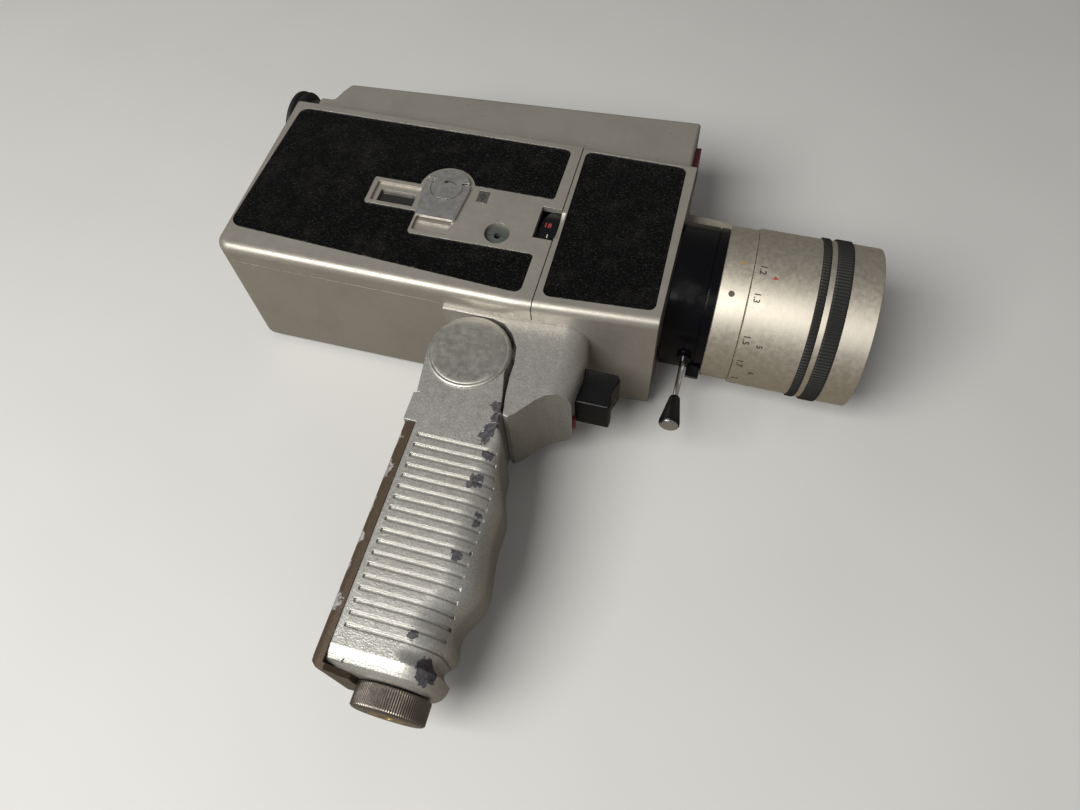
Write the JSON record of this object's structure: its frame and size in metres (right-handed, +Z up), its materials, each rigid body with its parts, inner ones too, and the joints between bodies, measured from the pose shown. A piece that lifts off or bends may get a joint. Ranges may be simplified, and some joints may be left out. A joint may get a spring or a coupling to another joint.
{
  "type": "cine camera",
  "caption": "Hand-held film camera with a zoom lens, leather-covered film door, top finder housing and a pistol grip that folds under the body.",
  "frame": {"origin": "mouth of the tripod socket in the underside of the grip's foot knob", "axes": "+X out of the lens, +Y to the operator's left (away from the film door), +Z up"},
  "size_m": [0.2686, 0.0652, 0.2649],
  "materials": {
    "silver_paint": "satin warm silver paint with fine speckle and edge wear",
    "hammered_paint": "hammered silver enamel, chipped to dark grey primer",
    "leatherette": "black pebbled leatherette",
    "satin_aluminium": "satin anodised champagne aluminium",
    "black_enamel": "gloss black enamel",
    "black_rubber": "ribbed black rubber",
    "black_plastic": "moulded black plastic",
    "dark_plastic": "matt black plastic",
    "red_plastic": "dark red plastic",
    "red_glass": "dark red transparent plastic",
    "lens_glass": "coated optical glass",
    "smoke_glass": "smoked window",
    "chrome_steel": "polished chrome",
    "nickel": "worn knurled nickel plate",
    "steel": "plain bright steel",
    "brass": "turned brass",
    "grey_casting": "plain die casting",
    "mirror_glass": "front-surfaced mirror",
    "spring_steel": "spring steel",
    "worn_paint": "worn silver paint over grey-brown primer",
    "cell_jacket": "plain printed metal jacket"
  },
  "bodies": {
    "root": {"body_shell": "silver_paint", "front_leatherette": "leatherette", "left_cover": "silver_paint", "left_leatherette": "leatherette", "cover_screws": "steel", "top_housing": "silver_paint", "front_window": "red_glass", "eyepiece_tube": "dark_plastic", "eyepiece_lens": "lens_glass", "finder_mirror": "mirror_glass", "lens_tube": "grey_casting", "index_ring": "satin_aluminium", "index_ring_screws": "steel", "zoom_drive_cover": "silver_paint", "relay_lens": "lens_glass", "beam_splitter": "lens_glass", "mechanism_frame": "grey_casting", "film_gate": "steel", "drive_motor": "steel", "drive_belt": "black_rubber", "dial_spindle": "steel", "trigger_housing": "hammered_paint", "bracket_screws": "steel", "trigger_spring": "spring_steel", "run_switch": "dark_plastic", "fold_axle": "steel"},
    "diopter": {"diopter_ring": "dark_plastic", "eyecup": "black_rubber"},
    "zoom": {"zoom_ring": "black_enamel", "zoom_lever_rod": "chrome_steel", "zoom_lever_knob": "black_plastic"},
    "variator_group": {"variator": "lens_glass"},
    "compensator_group": {"compensator": "lens_glass"},
    "focus": {"focus_barrel": "satin_aluminium", "rubber_rings": "black_rubber", "front_bezel": "dark_plastic", "front_lens": "lens_glass", "front_cell": "dark_plastic"},
    "claw": {"film_claw": "steel"},
    "takeup": {"takeup_spindle": "dark_plastic"},
    "shutter_shaft": {"shutter": "dark_plastic"},
    "motor_shaft": {"motor_pulley": "brass"},
    "dial": {"speed_dial": "black_plastic"},
    "door": {"film_door": "silver_paint", "door_leatherette": "leatherette", "door_window": "smoke_glass", "film_plane_plate": "satin_aluminium", "remote_socket": "steel"},
    "latch": {"latch_hub": "satin_aluminium", "latch_cam": "steel"},
    "key": {"latch_key": "satin_aluminium"},
    "trigger_body": {"trigger": "black_plastic"},
    "lock": {"trigger_lock": "red_plastic"},
    "grip": {"grip_body": "hammered_paint", "battery_holder": "dark_plastic", "battery_cells": "cell_jacket", "pivot_caps": "satin_aluminium", "tripod_bush": "brass"},
    "cover": {"battery_cover": "worn_paint"},
    "foot": {"foot_knob": "nickel"}
  },
  "joints": [
    {"name": "diopter_turn", "type": "hinge", "parent": "root", "child": "diopter", "pos_m": [-0.126, 0, 0.2445], "axis": [1, 0, 0], "range_deg": [-80, 80]},
    {"name": "zoom_turn", "type": "hinge", "parent": "root", "child": "zoom", "pos_m": [0.0658, 0, 0.1871], "axis": [1, 0, 0], "range_deg": [-60, 60]},
    {"name": "variator_slide", "type": "slide", "parent": "root", "child": "variator_group", "axis": [1, 0, 0], "range_m": [-0.0076, 0.0076]},
    {"name": "compensator_slide", "type": "slide", "parent": "root", "child": "compensator_group", "axis": [1, 0, 0], "range_m": [-0.002, 0.002]},
    {"name": "focus_turn", "type": "hinge", "parent": "root", "child": "focus", "pos_m": [0.11, 0, 0.1871], "axis": [1, 0, 0], "range_deg": [-200, 5]},
    {"name": "claw_stroke", "type": "slide", "parent": "root", "child": "claw", "axis": [0, 0, 1], "range_m": [-0.00423, 0]},
    {"name": "shutter_spin", "type": "hinge", "parent": "root", "child": "shutter_shaft", "pos_m": [-0.012, 0, 0.168], "axis": [1, 0, 0], "continuous": true},
    {"name": "motor_spin", "type": "hinge", "parent": "root", "child": "motor_shaft", "pos_m": [0, 0.0105, 0.162], "axis": [1, 0, 0], "continuous": true},
    {"name": "takeup_spin", "type": "hinge", "parent": "root", "child": "takeup", "pos_m": [-0.062, 0.002, 0.1871], "axis": [0, 1, 0], "continuous": true},
    {"name": "dial_turn", "type": "hinge", "parent": "root", "child": "dial", "pos_m": [0.0142, -0.0265, 0.1862], "axis": [0, 1, 0], "range_deg": [-70, 70]},
    {"name": "door_open", "type": "hinge", "parent": "root", "child": "door", "pos_m": [0.0089, -0.03, 0.187], "axis": [0, 0, 1], "range_deg": [0, 110]},
    {"name": "latch_turn", "type": "hinge", "parent": "door", "child": "latch", "pos_m": [-0.0396, -0.029, 0.1942], "axis": [0, -1, 0], "range_deg": [0, 90]},
    {"name": "key_flip", "type": "hinge", "parent": "latch", "child": "key", "pos_m": [-0.0396, -0.0307, 0.1963], "axis": [-1, 0, 0], "range_deg": [0, 90]},
    {"name": "trigger_pull", "type": "slide", "parent": "root", "child": "trigger_body", "axis": [-1, 0, 0], "range_m": [0, 0.003], "deforming": ["trigger_spring"]},
    {"name": "lock_slide", "type": "slide", "parent": "root", "child": "lock", "axis": [0, -1, 0], "range_m": [0, 0.004]},
    {"name": "grip_fold", "type": "hinge", "parent": "root", "child": "grip", "pos_m": [-0.0102, 0, 0.1277], "axis": [0, 1, 0], "range_deg": [0, 90]},
    {"name": "battery_cover_swing", "type": "hinge", "parent": "grip", "child": "cover", "pos_m": [-0.0246, 0, 0.0949], "axis": [0, -1, 0], "range_deg": [-50, 0]},
    {"name": "knob_turn", "type": "hinge", "parent": "grip", "child": "foot", "pos_m": [0, 0, 0.0045], "axis": [0, 0, 1], "range_deg": [-360, 360]}
  ],
  "couplings": [
    {"joint": "variator_slide", "follows": "zoom_turn", "m_per_rad": 0.00716},
    {"joint": "compensator_slide", "follows": "zoom_turn", "m_per_rad": -0.0018},
    {"joint": "motor_spin", "follows": "shutter_spin", "ratio": 2.3077},
    {"joint": "takeup_spin", "follows": "shutter_spin", "ratio": 0.0667}
  ]
}
